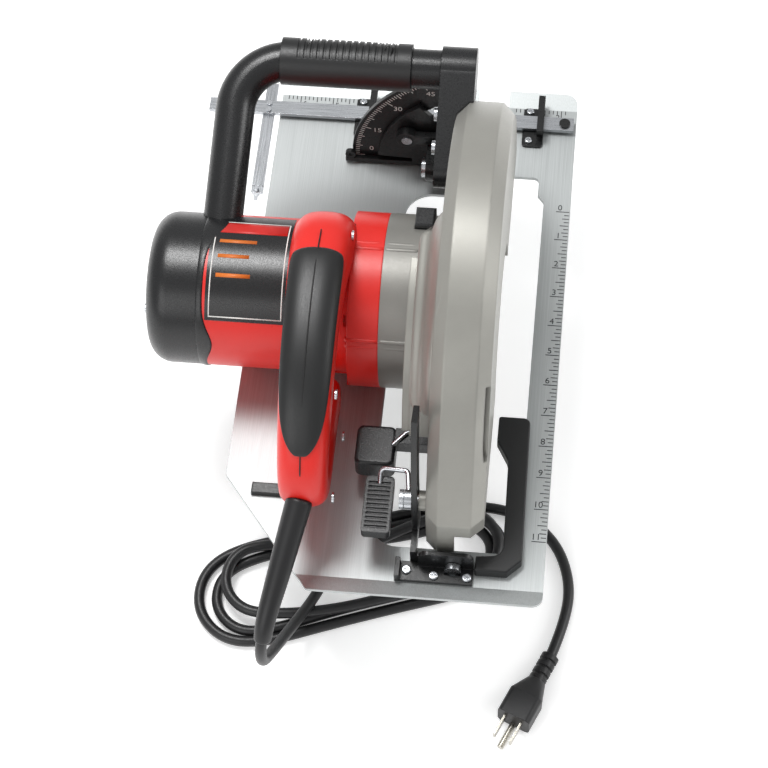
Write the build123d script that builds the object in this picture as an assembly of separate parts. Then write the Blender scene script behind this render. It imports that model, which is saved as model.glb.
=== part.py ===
from build123d import *
import math
import os

# Portable circular saw for 260 mm blades. Millimetres, +X right, +Y forward, +Z up.
# Origin: on the sole plane, in the blade's plane, straight under the arbor at full depth.

# Driving dimensions
BLADE_R = 130.2
CUT_DEPTH = 95.2
ARBOR_Z = BLADE_R - CUT_DEPTH
FLOOR_Z = -105.0
SHOE_T = 3.0
SHOE_X = (-167.0, 63.0)
SHOE_Y = (-205.0, 234.0)
LIP = 13.0
GUARD_R = 160.0
GUARD_HALF = 20.0
GUARD_WALL = 3.5
LOWER_R = ARBOR_Z - FLOOR_Z
LOWER_HALF = 12.0
MODULE = 1.0
PINION_TEETH, GEAR_TEETH = 12, 40
MOTOR_Z = ARBOR_Z + MODULE * (PINION_TEETH + GEAR_TEETH) / 2
MOTOR_R = 54.0
FLANGE_R = 62.0
CASE_X = (-62.0, -22.0)
MOTOR_X = (-190.0, -62.0)
CAP_END = -228.0
BEVEL_Z = 9.0
QUADRANT_Y = (164.0, 167.0)
REAR_Y = -177.0
DEPTH_PIVOT = (140.0, 30.0)
ARM_R = 290.0
CLAMP_ANGLE = math.degrees(math.asin(15.0 / ARM_R))
HANDLE_X = -104.0
GRIP_Y, GRIP_Z = 142.0, 146.0
CORD_D = 8.0
RUN = 0.05
GAP = 0.3

os.makedirs("parts", exist_ok=True)


def block(x, y, z):
    """A box given by its (low, high) pair along each axis."""
    middle = Pos((x[0] + x[1]) / 2, (y[0] + y[1]) / 2, (z[0] + z[1]) / 2)
    return middle * Box(x[1] - x[0], y[1] - y[0], z[1] - z[0])


def rod_x(y, z, r, x0, x1):
    return Pos((x0 + x1) / 2, y, z) * Rot(0, 90, 0) * Cylinder(r, x1 - x0)


def rod_y(x, z, r, y0, y1):
    return Pos(x, (y0 + y1) / 2, z) * Rot(90, 0, 0) * Cylinder(r, y1 - y0)


def rod_z(x, y, r, z0, z1):
    return Pos(x, y, (z0 + z1) / 2) * Cylinder(r, z1 - z0)


def ring_x(y, z, r_in, r_out, x0, x1):
    return rod_x(y, z, r_out, x0, x1) - rod_x(y, z, r_in, x0 - 1, x1 + 1)


def outline(points, radii=0.0):
    """A closed face through the points, its corners rounded by one radius or one each."""
    if isinstance(radii, (int, float)) and radii == 0:
        return make_face(Polyline(*points, close=True))
    return make_face(FilletPolyline(*points, radius=radii, close=True))


def plate_yz(face, x0, x1):
    return extrude(Plane.YZ.offset(x0) * face, x1 - x0)


def plate_xz(face, y0, y1):
    return extrude(Plane.XZ.offset(-y1) * face, y1 - y0)


def plate_xy(face, z0, z1):
    return extrude(Plane.XY.offset(z0) * face, z1 - z0)


def polar(r, degrees, centre=(0.0, 0.0)):
    a = math.radians(degrees)
    return (centre[0] + r * math.cos(a), centre[1] + r * math.sin(a))


def arc_band(centre, r_in, r_out, start, end):
    """A band between two radii, from one angle to another, in degrees."""
    middle = (start + end) / 2
    outer = ThreePointArc(*[polar(r_out, a, centre) for a in (start, middle, end)])
    inner = ThreePointArc(*[polar(r_in, a, centre) for a in (end, middle, start)])
    sides = [Line(outer @ 1, inner @ 0), Line(inner @ 1, outer @ 0)]
    return make_face(Curve() + [outer, inner] + sides)


def arc_slot(centre, r, half_width, start, end):
    """An arc slot with round ends."""
    slot = arc_band(centre, r - half_width, r + half_width, start, end)
    for a in (start, end):
        slot += Pos(*polar(r, a, centre)) * Circle(half_width)
    return slot


def write(name, shape):
    solids = shape.solids() if hasattr(shape, "solids") else shape
    shape = Compound(children=list(solids)) if len(solids) > 1 else solids[0]
    export_step(shape, f"parts/{name}.step")
    print(name, len(solids), round(sum(s.volume for s in solids), 1))


# Shoe -----------------------------------------------------------------------------------

SLOT_RIGHT, SLOT_LEFT = 42.5, -61.0
FENCE_Y = 204.0
FENCE_Z = (6.0, 9.0)
CLAMP_X = {"left": -100.0, "right": 30.0}


def shoe_outline():
    x0, x1 = SHOE_X
    y0, y1 = SHOE_Y
    points = [(x0, y1), (x1, y1), (x1, y0), (x0 + 67, y0), (x0 + 62, y0 + 8), (x0, y0 + 87)]
    return outline(points, [8, 9, 8, 3, 4, 6])


def slot_outline():
    points = [(-16, 156), (37.5, 156), (37.5, 140), (SLOT_RIGHT, 134), (SLOT_RIGHT, -165)]
    points += [(SLOT_LEFT, -165), (SLOT_LEFT, 135), (-16, 135)]
    return outline(points, [2, 4, 2, 3, 8, 20, 20, 2])


def lip(y_bend, y_tip, rise):
    """An edge of the plate turned up from its bend line to its tip."""
    points = [(y_bend, 0), (y_tip, rise), (y_tip, rise + SHOE_T), (y_bend, SHOE_T)]
    return plate_yz(outline(points), SHOE_X[0] - 1, SHOE_X[1] + 1)


def shoe_plate():
    flat = block((SHOE_X[0] - 1, SHOE_X[1] + 1), (SHOE_Y[0] + LIP, SHOE_Y[1] - LIP), (0, SHOE_T))
    front = lip(SHOE_Y[1] - LIP, SHOE_Y[1], 4.0)
    rear = lip(SHOE_Y[0] + LIP, SHOE_Y[0], 5.0)
    plate = (flat + front + rear) & plate_xy(shoe_outline(), -1, 20)
    plate -= plate_xy(slot_outline(), -1, 20)
    plate -= block((-14, 10), (SHOE_Y[1] - LIP + 1, SHOE_Y[1] + 1), (-1, 20))
    return plate


def pan_head(x, y, z, r=3.2, h=2.0):
    """A pan head screw standing on a plate, with a cross recess."""
    head = rod_z(x, y, r, z, z + h)
    head = fillet(head.edges().group_by(Axis.Z)[-1], 0.8)
    for turn in (0, 90):
        head -= Pos(x, y, z + h) * Rot(0, 0, turn) * Box(r * 1.1, 0.8, 1.6)
    return head


def bevel_quadrant():
    """The upright scale plate with its arc slot and its foot on the shoe."""
    centre = (0.0, BEVEL_Z)
    sheet = arc_band(centre, 20, 106, 92, 178) + arc_band(centre, 5, 22, 92, 178)
    sheet &= Pos(-64, 61) * Rectangle(83, 112)
    sheet -= arc_slot(centre, 72, 4.4, 104, 151)
    foot = block((-104, -24), (QUADRANT_Y[1] - 0.1, 179), (SHOE_T, SHOE_T + 2.5))
    plate = plate_xz(sheet, *QUADRANT_Y)
    low = block((-104, -24), QUADRANT_Y, (SHOE_T, 14)) & plate_xz(
        Pos(0, BEVEL_Z) * Circle(106), *QUADRANT_Y)
    ear = block((-26, 9), QUADRANT_Y, (SHOE_T, BEVEL_Z + 7))
    body = plate + low + ear + foot
    return body - rod_y(0, BEVEL_Z, 4.0, QUADRANT_Y[0] - 1, QUADRANT_Y[1] + 1)


def rear_bracket():
    """Foot with three screws and an upright cheek that carries the rear bevel pin."""
    foot = block((-40, 14), (-191.5, REAR_Y), (SHOE_T, SHOE_T + 3))
    cheek = block((-24, 14), (REAR_Y - 3, REAR_Y), (SHOE_T, 24))
    cheek = fillet(cheek.edges().filter_by(Axis.Y).group_by(Axis.Z)[-1], 7)
    rib = block((-40, -36.5), (-191.5, REAR_Y), (SHOE_T, 12))
    body = foot + cheek + rib - rod_y(0, BEVEL_Z, 6.4, REAR_Y - 8.5, REAR_Y - 3)
    return body - rod_y(0, BEVEL_Z, 4.0, REAR_Y - 9, REAR_Y + 1)


def slot_frame():
    """Low black frame along the right of the slot that stiffens the shoe behind the blade."""
    outer = outline([(15, -183), (37, -183), (47, -173), (45.5, -60), (23, -60), (23, -80),
                     (32, -96), (33.5, -170), (15, -172)], [1, 2, 2, 5, 2, 4, 12, 8, 1])
    frame = plate_xy(outer, SHOE_T, SHOE_T + 9)
    return chamfer(frame.edges().filter_by(Plane.XY).group_by(Axis.Z)[-1], 0.8)


def fence_clamp(x):
    """Base, bridge over the rail and thin spring fin that presses on it."""
    base = block((x - 8, x + 8), (FENCE_Y - 20, FENCE_Y + 16), (SHOE_T, SHOE_T + 2))
    base = fillet(base.edges().filter_by(Axis.Z), 3)
    posts = block((x + 3, x + 8), (FENCE_Y - 10.5, FENCE_Y - 7), (SHOE_T, 17))
    posts += block((x + 3, x + 8), (FENCE_Y + 7, FENCE_Y + 10.5), (SHOE_T, 17))
    bridge = block((x + 3, x + 8), (FENCE_Y - 14, FENCE_Y + 20), (12.5, 17))
    return base + posts + bridge


def shoe_screws():
    """Pan head screws that hold the quadrant, the rear bracket and the fence clamps."""
    heads = [pan_head(x, 173, SHOE_T + 2.5) for x in (-92, -36)]
    heads += [pan_head(x, y, SHOE_T + 3) for x, y in ((-32, -184), (-13, -187), (10, -187))]
    for x in CLAMP_X.values():
        for y in (FENCE_Y - 15, FENCE_Y + 12.4):
            heads += [pan_head(x - 3, y, SHOE_T + 2, 2.8)]
    return Compound(children=heads)


def wrench_clip():
    clip = block((-147, -104), (-133, -124), (SHOE_T, SHOE_T + 4))
    return chamfer(clip.edges().group_by(Axis.Z)[-1], 0.8)


# Rip fence ------------------------------------------------------------------------------

def fence_rail():
    rail = block((-222, 61), (FENCE_Y - 6, FENCE_Y + 6), FENCE_Z)
    return rail - rod_z(54, FENCE_Y, 2.5, 0, 20)


def fence_guide():
    """Strip left of the shoe whose lower flange runs along the edge of the work."""
    top = block((-180, -171), (131, 229), (FENCE_Z[0] - 2.5, FENCE_Z[0]))
    flange = block((-180, -177.5), (131, 229), (-14, FENCE_Z[0] - 2.5))
    return top + flange


def fence_stop():
    stop = rod_z(54, FENCE_Y, 4.2, FENCE_Z[1], FENCE_Z[1] + 1.6)
    return stop + rod_z(54, FENCE_Y, 2.5, FENCE_Z[0], FENCE_Z[1])


def fence_rivets():
    heads = [rod_z(-175.5, FENCE_Y + dy, 2.2, FENCE_Z[1], FENCE_Z[1] + 1.5) for dy in (-3, 3)]
    pin = rod_z(-176, 127, 2.0, FENCE_Z[0] - 6, FENCE_Z[0] + 3)
    tail = block((-180, -171), (124.5, 131), (FENCE_Z[0] - 2.5, FENCE_Z[0] - 0.5))
    return Compound(children=[*heads, pin + tail])


# Bevel carriage -------------------------------------------------------------------------

def front_carriage():
    """Plate behind the quadrant that turns on the front bevel pin and holds the depth pin."""
    y0, y1 = QUADRANT_Y[0] - 4, QUADRANT_Y[0] - GAP
    centre = (0.0, BEVEL_Z)
    sheet = arc_band(centre, 4.5, 86, 128, 176)
    plate = plate_xz(sheet, y0, y1) & block((-200, -22), (0, 300), (0, 200))
    ear = rod_y(0, BEVEL_Z, 5.5, y0, y1) - rod_y(0, BEVEL_Z, 4.0, y0 - 1, y1 + 1)
    link = block((-60, -4.5), (y0, y1), (5, 14)) - rod_y(0, BEVEL_Z, 5.4, y0 - 1, y1 + 1)
    finger = block((-111, -55), (y0, y1), (5, 9))
    py, pz = DEPTH_PIVOT
    boss = block((-47, -34 - GAP), (py - 4, y1), (pz - 10, pz + 10)) + rod_x(py, pz, 10, -47, -34 - GAP)
    body = plate + ear + link + finger + boss
    body -= rod_x(py, pz, 4.95, -60, -20)
    return body - rod_y(*polar(72, 150, centre), 4.0, y0 - 1, y1 + 1)


def bevel_pointer():
    return rod_y(-107, 13.2, 4.0, QUADRANT_Y[0] - 4, QUADRANT_Y[0] - 1) - rod_y(-107, 13.2, 1.6, 150, 170)


def bevel_pins():
    """Headed pins on the bevel axis. They turn in the fixed bores."""
    front = rod_y(0, BEVEL_Z, 4.0 - RUN, QUADRANT_Y[0] - 4, QUADRANT_Y[1] + 1)
    front += rod_y(0, BEVEL_Z, 5.8, QUADRANT_Y[1] + 0.4, QUADRANT_Y[1] + 4)
    rear = rod_y(0, BEVEL_Z, 4.0 - RUN, REAR_Y - 4, REAR_Y + 3.6)
    rear += rod_y(0, BEVEL_Z, 5.8, REAR_Y - 7.5, REAR_Y - 3.4)
    return Compound(children=[front, rear])


def depth_pin():
    y, z = DEPTH_PIVOT
    return rod_x(y, z, 4.95, -47, -20.5) + rod_x(y, z, 7.5, -50, -47)


def depth_arm():
    """Arc plate round the depth pivot, with the slot that the clamp bolt runs in."""
    band = arc_band(DEPTH_PIVOT, ARM_R - 9, ARM_R + 9, 180 - 20.5, 184.2)
    slot = arc_slot(DEPTH_PIVOT, ARM_R, 4.4, 180 - CLAMP_ANGLE - 15.3, 180 - CLAMP_ANGLE)
    arm = plate_yz(band - slot, -30, -26)
    foot = block((-30, -26), (REAR_Y + GAP, -141), (5, 20))
    toe = block((-30, 0), (REAR_Y + GAP, REAR_Y + 3.6), (5, 14))
    toe += rod_y(0, BEVEL_Z, 5.5, REAR_Y + GAP, REAR_Y + 3.6)
    return arm + foot + toe - rod_y(0, BEVEL_Z, 4.0, REAR_Y - 1, REAR_Y + 5)


LOCK = polar(72, 150, (0.0, BEVEL_Z))


def bevel_bolt():
    x, z = LOCK
    bolt = rod_y(x, z, 3.95, QUADRANT_Y[0] - 12, QUADRANT_Y[1] + 0.5)
    return bolt + rod_y(x, z, 7.5, QUADRANT_Y[1] + 0.5, QUADRANT_Y[1] + 5)


def bevel_lever():
    """Clamp lever that turns on the bevel bolt."""
    x, z = LOCK
    y0, y1 = QUADRANT_Y[0] - 11, QUADRANT_Y[0] - 4.5
    hub = rod_y(x, z, 8, y0, y1)
    arm = block((x - 4, x + 30), (y0, y1 - 1), (z - 4, z + 5))
    arm = fillet(arm.edges().filter_by(Axis.Y), 4)
    return hub + arm - rod_y(x, z, 4.0, y0 - 1, y1 + 1)


# Upper guard and gear case ---------------------------------------------------------------

def guard_face(shrink):
    r = GUARD_R - shrink
    arc = ThreePointArc(*[polar(r, a, (0, ARBOR_Z)) for a in (-6, 70, 152)])
    tail = [arc @ 1, (-172 + shrink, 52), (-172 + shrink, -40), ((arc @ 0).X, -40), arc @ 0]
    return make_face(Curve() + [arc, Polyline(*tail)])


def guard_volume(shrink, low):
    """The guard's outer form, made smaller all round by shrink, open below the height low."""
    half = GUARD_HALF - shrink
    steps = ((half - 8.5, 0.0), (half, 8.5))
    body = plate_yz(guard_face(shrink), -steps[0][0], steps[0][0])
    for side in (-1, 1):
        sections = [Plane.YZ.offset(side * x) * guard_face(shrink + inset) for x, inset in steps]
        body += loft(sections)
    return body & block((-60, 60), (-300, 300), (low, 300))


LEVER_START, LEVER_TRAVEL = 180.0, 100.0


def upper_guard():
    """Cast shell over the blade, with the shoulder that carries the depth scale."""
    shell = guard_volume(0, 12)
    shell -= guard_volume(GUARD_WALL, 0)
    shell -= block((0, GUARD_HALF + 1), (-200, 200), (0, 38))
    shell -= block((-GUARD_HALF - 1, 1), (138, 200), (0, 21))
    shell -= rod_x(0, ARBOR_Z, 32.0, -GUARD_HALF - 1, 0)
    shell -= rod_x(0, ARBOR_Z, 60, 0, GUARD_HALF + 1)
    path = arc_slot((0, ARBOR_Z), 98, 8.5, LEVER_START - LEVER_TRAVEL - 4, LEVER_START + 4)
    shell -= plate_yz(path, -GUARD_HALF - 1, -GUARD_HALF + GUARD_WALL + 1)
    shell -= plate_yz(arc_band((0, ARBOR_Z), 147, 154.5, 137, 158), 9, GUARD_HALF + 1)
    roof = plate_yz(arc_band((0, ARBOR_Z), 109, 114, 93, 150), -36, -GUARD_HALF + 0.1)
    edge = plate_yz(arc_band((0, ARBOR_Z), 109, 112, 99, 164), -41, -35.9)
    ends = plate_yz(arc_band((0, ARBOR_Z), 109, 113, 149.9, 166), -36, -GUARD_HALF + 0.1)
    y, z = DEPTH_PIVOT
    lug = rod_x(y, z, 10, -34, -GUARD_HALF + 0.1) - rod_x(y, z, 5.0, -40, 0)
    shell -= rod_x(y, z, 5.0, -40, -GUARD_HALF + GUARD_WALL + 1)
    cy, cz = clamp_point()
    boss = rod_x(cy, cz, 7, -26 + GAP, -GUARD_HALF + 0.1) - rod_x(cy, cz, 4.0, -40, 0)
    shell -= rod_x(cy, cz, 4.0, -40, -GUARD_HALF + GUARD_WALL + 1)
    return shell + roof + edge + ends + lug + boss


def clamp_point():
    return polar(ARM_R, 180 - CLAMP_ANGLE, DEPTH_PIVOT)


def gear_case():
    """Casting between motor and guard. Its nose carries the lower guard."""
    x0, x1 = CASE_X
    body = rod_x(0, MOTOR_Z, FLANGE_R, x0, x1)
    body = chamfer(body.edges().filter_by(GeomType.CIRCLE).group_by(Axis.X)[-1], 3)
    body += block((x0 + 1, x1 - 2), (42, 66), (MOTOR_Z - 14, MOTOR_Z + 14))
    body += rod_x(0, ARBOR_Z, 34, x1 - 1, -GUARD_HALF)
    body &= block((-100, 0), (-100, 100), (4.5, 200))
    body += rod_x(0, ARBOR_Z, 32.0 - RUN, x1, -9.5)
    body -= rod_x(0, ARBOR_Z, 24, x0 + 6, -38)
    body -= rod_x(0, MOTOR_Z, 9, x0 + 6, -38)
    body -= rod_x(0, ARBOR_Z, 15.0, -24, 0)
    body -= rod_x(0, ARBOR_Z, 8.6, -39, -20)
    body -= rod_x(0, MOTOR_Z, 14.0, x0 - 1, x0 + 6.1)
    body -= rod_x(0, ARBOR_Z, 8.6, x0 - 1, x0 + 6.1)
    return body - block((-43.3, -28.7), (23.7, 40.3), (98, 140))


SCREW_ANGLES = (40, 140, 220, 320)


def case_screws():
    """Four long screws, their hex socket heads seated on the housing flange."""
    heads = []
    for a in SCREW_ANGLES:
        y, z = polar(FLANGE_R - 6, a, (0, MOTOR_Z))
        head = rod_x(y, z, 4, -80, -74.05)
        heads.append(head - rod_x(y, z, 1.8, -81, -77))
    return Compound(children=heads)


# Drive ----------------------------------------------------------------------------------

def gear_face(teeth, phase, thin):
    """Involute spur gear outline, its teeth thinned at the pitch circle for backlash."""
    pressure = math.radians(25)
    pitch = MODULE * teeth / 2
    base = pitch * math.cos(pressure)
    root, tip = pitch - 1.25 * MODULE, pitch + 0.85 * MODULE
    half = math.pi / (2 * teeth) - thin / (2 * pitch) + math.tan(pressure) - pressure
    first = max(root, base)
    radii = [first + (tip - first) * k / 4 for k in range(5)]
    if root < base:
        radii.insert(0, root)
    angles = []
    for r in radii:
        a = math.acos(min(1.0, base / r))
        angles.append(half - (math.tan(a) - a))
    points = []
    for k in range(teeth):
        middle = math.radians(phase) + 2 * math.pi * k / teeth
        flank = list(zip(radii, angles))
        for r, a in flank:
            points.append((r * math.cos(middle - a), r * math.sin(middle - a)))
        for r, a in reversed(flank):
            points.append((r * math.cos(middle + a), r * math.sin(middle + a)))
    return outline(points)


def spindle():
    shaft = rod_x(0, ARBOR_Z, 8.0 - RUN, -61, -5)
    shaft += rod_x(0, ARBOR_Z, 7.9, -5, 1.1)
    return shaft - rod_x(0, ARBOR_Z, 4.05, -18, 2)


def spindle_gear():
    wheel = Pos(0, 0, 0) * plate_yz(Pos(0, ARBOR_Z) * gear_face(GEAR_TEETH, 90, 0.12), -54, -42)
    return wheel - rod_x(0, ARBOR_Z, 8.0, -60, -40)


def saw_blade():
    """Disc with raked teeth, gullets and the arbor hole."""
    teeth, pitch = 24, 15.0
    points = []
    for k in range(teeth):
        a = k * pitch
        points += [polar(BLADE_R, a), polar(BLADE_R - 2.2, a + 3.4), polar(BLADE_R - 8, a + 9)]
        points += [polar(BLADE_R - 13, a + 12.4), polar(BLADE_R - 9, a + 14.3)]
    disc = plate_yz(Pos(0, ARBOR_Z) * outline(points), -1.2, 1.2)
    disc -= rod_x(0, ARBOR_Z, 7.95, -2, 2)
    for k in range(3):
        disc -= rod_x(*polar(70, 60 + 120 * k, (0, ARBOR_Z)), 6, -2, 2)
    return disc


def blade_flanges():
    inner = ring_x(0, ARBOR_Z, 7.95, 25, -4.5, -1.2)
    outer = ring_x(0, ARBOR_Z, 4.3, 23, 1.2, 4.5)
    return Compound(children=[inner, outer])


def blade_bolt():
    hexagon = plate_yz(Pos(0, ARBOR_Z) * RegularPolygon(8, 6), 4.5, 9.5)
    return hexagon + rod_x(0, ARBOR_Z, 4.0, -14, 4.5)


def spindle_bearings():
    front = ring_x(0, ARBOR_Z, 8.0, 15.0, -22, -12)
    rear = ring_x(0, ARBOR_Z, 8.0, 8.6, -61, -56.2)
    return Compound(children=[front, rear])


def armature():
    """Shaft, laminated core, commutator, cooling fan and pinion, all turning together."""
    body = rod_x(0, MOTOR_Z, 5, -212, -56.5)
    body += rod_x(0, MOTOR_Z, 25, -152, -104)
    body += rod_x(0, MOTOR_Z, 20, -160, -98)
    body += rod_x(0, MOTOR_Z, 13, -182, -164)
    body += rod_x(0, MOTOR_Z, 12, -96, -80)
    body += rod_x(0, MOTOR_Z, 40, -83, -80)
    for k in range(9):
        blade = block((-95, -83), (11, 40), (MOTOR_Z - 1, MOTOR_Z + 1))
        body += Pos(0, 0, MOTOR_Z) * Rot(40 * k, 0, 0) * Pos(0, 0, -MOTOR_Z) * blade
    pinion = plate_yz(Pos(0, MOTOR_Z) * gear_face(PINION_TEETH, -75, 0.12), -56.5, -41)
    return body + pinion


def motor_bearings():
    rear = ring_x(0, MOTOR_Z, 5 + RUN, 13, -211, -203)
    front = ring_x(0, MOTOR_Z, 5 + RUN, 13.9, -67, -57)
    return Compound(children=[rear, front])


def stator():
    body = ring_x(0, MOTOR_Z, 26, 49.5, -154, -102)
    for side in (-1, 1):
        for x in (-160, -102):
            coil = ring_x(0, MOTOR_Z, 28, 44, x, x + 6)
            body += coil & block((x - 1, x + 8), (-46, 46), sorted((MOTOR_Z + side * 8, MOTOR_Z + side * 60)))
    return body


def brush_holders():
    parts = []
    for side in (-1, 1):
        y = sorted((side * 17, side * 44))
        shell = block((-179, -167), y, (MOTOR_Z - 6, MOTOR_Z + 6))
        parts.append(shell - block((-177, -169), (-50, 50), (MOTOR_Z - 4, MOTOR_Z + 4)))
    return Compound(children=parts)


def carbon_brushes():
    parts = []
    for side in (-1, 1):
        y = sorted((side * 13.4, side * 30))
        parts.append(block((-176.9, -169.1), y, (MOTOR_Z - 3.9, MOTOR_Z + 3.9)))
    return Compound(children=parts)


# Motor housing, end cap and handles --------------------------------------------------------

def motor_housing():
    x0, x1 = MOTOR_X
    flange = rod_x(0, MOTOR_Z, FLANGE_R, -86, x1) & block((-100, 0), (-80, 80), (4.5, 200))
    barrel = rod_x(0, MOTOR_Z, MOTOR_R, x0, -85)
    body = flange + barrel - rod_x(0, MOTOR_Z, MOTOR_R - 4, x0 - 1, x1 - 6)
    body -= rod_x(0, MOTOR_Z, 14.0, x1 - 7, x1 + 1)
    for a in SCREW_ANGLES:
        y, z = polar(FLANGE_R - 6, a, (0, MOTOR_Z))
        body -= rod_x(y, z, 5.5, -87, -74)
        body += ring_x(y, z, 4.2, 5.6, -84, -73.9) & block((-100, -60), (-70, 70), (5, 120))
    for y in (-20, -8, 4, 16):
        body -= block((-184, -166), (y, y + 5), (0, 20))
    return body - rear_handle_form() - front_handle_form(0.0)


def end_cap():
    """Black cover over the brush end, rounded, with air slots."""
    cap = rod_x(0, MOTOR_Z, MOTOR_R, CAP_END, MOTOR_X[0])
    cap = fillet(cap.edges().filter_by(GeomType.CIRCLE).group_by(Axis.X)[0], 16)
    inner = rod_x(0, MOTOR_Z, MOTOR_R - 4, CAP_END + 4, MOTOR_X[0] + 1)
    cap -= fillet(inner.edges().filter_by(GeomType.CIRCLE).group_by(Axis.X)[0], 12)
    cap += ring_x(0, MOTOR_Z, 13, 17, -212, -202)
    for a in (0, 90, 180, 270):
        spoke = block((-212, -204), (16, MOTOR_R - 3), (MOTOR_Z - 2, MOTOR_Z + 2))
        cap += Pos(0, 0, MOTOR_Z) * Rot(a, 0, 0) * Pos(0, 0, -MOTOR_Z) * spoke
    for k in range(5):
        z = MOTOR_Z - 24 + 11 * k
        cap -= block((CAP_END - 1, CAP_END + 8), (-24, 24), (z, z + 4))
    return cap - front_handle_form(0.0)


def rear_handle_form():
    """Outer form of the rear handle with its finger opening."""
    face = outline([(26, 112), (22, 138), (-26, 153), (-92, 144), (-150, 100), (-172, 64),
                    (-170, 44), (-150, 36), (-70, 22), (-20, 60)], [3, 10, 40, 50, 40, 8, 8, 12, 8, 6])
    body = plate_yz(face, HANDLE_X - 20, HANDLE_X + 20)
    body -= plate_yz(finger_hole(), HANDLE_X - 21, HANDLE_X + 21)
    return body - rod_x(0, MOTOR_Z, MOTOR_R - 1.0, HANDLE_X - 30, HANDLE_X + 30)


def finger_hole():
    return outline([(-66, 116), (-92, 110), (-131, 76), (-138, 62), (-72, 52), (-64, 66)], [6, 14, 8, 8, 8, 8])


def handle_solid():
    body = rear_handle_form()
    hollow = outline([(4, 120), (-24, 145), (-90, 136), (-104, 126), (-64, 120)], 4)
    body -= plate_yz(hollow, HANDLE_X - 15, HANDLE_X + 15)
    pocket = outline([(-56, 108), (-56, 128), (-102, 128), (-102, 92)])
    body -= plate_yz(pocket, HANDLE_X - 8.5, HANDLE_X + 8.5)
    body -= relief_body(0.3)
    return body - grip_pad_form()


def handle_half(side):
    x = sorted((HANDLE_X, HANDLE_X + side * 40))
    return handle_solid() & block(x, (-300, 100), (0, 300))


def grip_pad_form():
    """Soft pad over the top of the handle."""
    face = outline([(-24, 160), (-24, 141), (-88, 132), (-136, 94), (-152, 78), (-170, 84), (-150, 115),
                    (-95, 160)], [1, 2, 40, 30, 4, 2, 30, 30])
    return plate_yz(face, HANDLE_X - 40, HANDLE_X + 40) & rear_handle_form()


def grip_pad():
    pad = grip_pad_form()
    return pad - plate_yz(outline([(-20, 146), (-90, 137), (-140, 97), (-150, 84), (-145, 70), (-60, 100)]),
                          HANDLE_X - 17, HANDLE_X + 17)


def housing_screws():
    """Screws that close the rear handle and hold the end cap."""
    heads = []
    for a in (30, 150, 270):
        y, z = polar(36, a, (0, MOTOR_Z))
        heads.append(rod_x(y, z, 3.4, CAP_END - 1.2, CAP_END))
    for y, z in ((4, 134), (-112, 116), (-158, 56), (-100, 38)):
        heads.append(rod_x(y, z, 3.6, HANDLE_X + 20, HANDLE_X + 21.5))
    return Compound(children=heads)


def power_switch():
    return block((HANDLE_X - 12, HANDLE_X + 12), (-56, -24), (121.5, 138))


TRIGGER_PIVOT = (-62.0, 121.0)


def trigger():
    """Finger lever below the grip, hung on its pin at the front."""
    y, z = TRIGGER_PIVOT
    face = outline([(y + 2, z + 3), (y + 2, z - 8), (y - 8, z - 16), (y - 24, z - 20), (y - 34, z - 22),
                    (y - 32, z - 6), (y - 24, z - 2)], 2)
    body = plate_yz(face, HANDLE_X - 7.5, HANDLE_X + 7.5)
    return body - rod_x(y, z - 1, 1.55, HANDLE_X - 10, HANDLE_X + 10)


RELIEF_START = Vector(-106, -166, 58)
RELIEF_END = Vector(-119, -221, 28)


def relief_body(grow=0.0):
    axis = RELIEF_END - RELIEF_START
    plane = Plane(origin=RELIEF_START, z_dir=axis)
    cone = Cone(9.3 + grow, 6.2 + grow, axis.length, align=(Align.CENTER, Align.CENTER, Align.MIN))
    collar = Pos(0, 0, -6) * Cylinder(11 + grow, 6 + 2 * grow, align=(Align.CENTER, Align.CENTER, Align.MIN))
    return plane * (cone + collar)


def front_handle_path():
    points = [(-182, 22, 88), (-178, GRIP_Y, GRIP_Z), (-34, GRIP_Y, GRIP_Z)]
    return FilletPolyline(*points, radius=38)


def front_handle_form(grow=0.0):
    path = front_handle_path()
    profile = Plane(origin=path @ 0, z_dir=path % 0) * Circle(14 + grow)
    return sweep(profile, path)


GRIP_X = (-148.0, -55.0)


def front_handle():
    """Bent tube handle from the end cap to the arm on the guard."""
    cut = block(GRIP_X, (GRIP_Y - 30, GRIP_Y + 30), (GRIP_Z - 30, GRIP_Z + 30))
    core = rod_x(GRIP_Y, GRIP_Z, 10, GRIP_X[0] - 1, GRIP_X[1] + 1)
    return front_handle_form() - cut + core


def front_grip():
    """Rubber sleeve with a row of ribs cut across its top."""
    sleeve = ring_x(GRIP_Y, GRIP_Z, 10, 17, *GRIP_X)
    for k in range(16):
        x = GRIP_X[0] + 12 + 4.6 * k
        ring = ring_x(GRIP_Y, GRIP_Z, 15.8, 18, x, x + 1.9)
        sleeve -= ring & block((-200, 0), (GRIP_Y - 8, GRIP_Y + 30), (GRIP_Z - 8, GRIP_Z + 30))
    return sleeve


def handle_arm():
    """Arm from the grip down to the guard's left flank."""
    head = rod_x(GRIP_Y, GRIP_Z, 17, -33.9, -9)
    web = outline([(GRIP_Y + 17, GRIP_Z), (GRIP_Y - 4, GRIP_Z + 17), (60, 122), (70, 100), (GRIP_Y, GRIP_Z - 17)],
                  [14, 14, 12, 12, 14])
    body = head + plate_yz(web, -33.9, -9)
    body -= guard_volume(-0.3, 0)
    return body - block((-GUARD_HALF - 0.3, 0), (-10, 142), (0, 128))


def arm_bolts():
    heads = []
    for y, z in ((96, 116), (118, 126)):
        heads.append(rod_x(y, z, 5, -37.5, -33.9) - plate_yz(Pos(y, z) * RegularPolygon(2.6, 6), -38, -35.5))
    return Compound(children=heads)


def label_plate():
    """Thin blank rating plate that lies on the top of the barrel."""
    band = ring_x(0, MOTOR_Z, MOTOR_R, MOTOR_R + 0.5, -184, -128)
    return (band & block((-190, -120), (-45, 36), (MOTOR_Z + 20, 200))) - front_handle_form(0.3)


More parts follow.
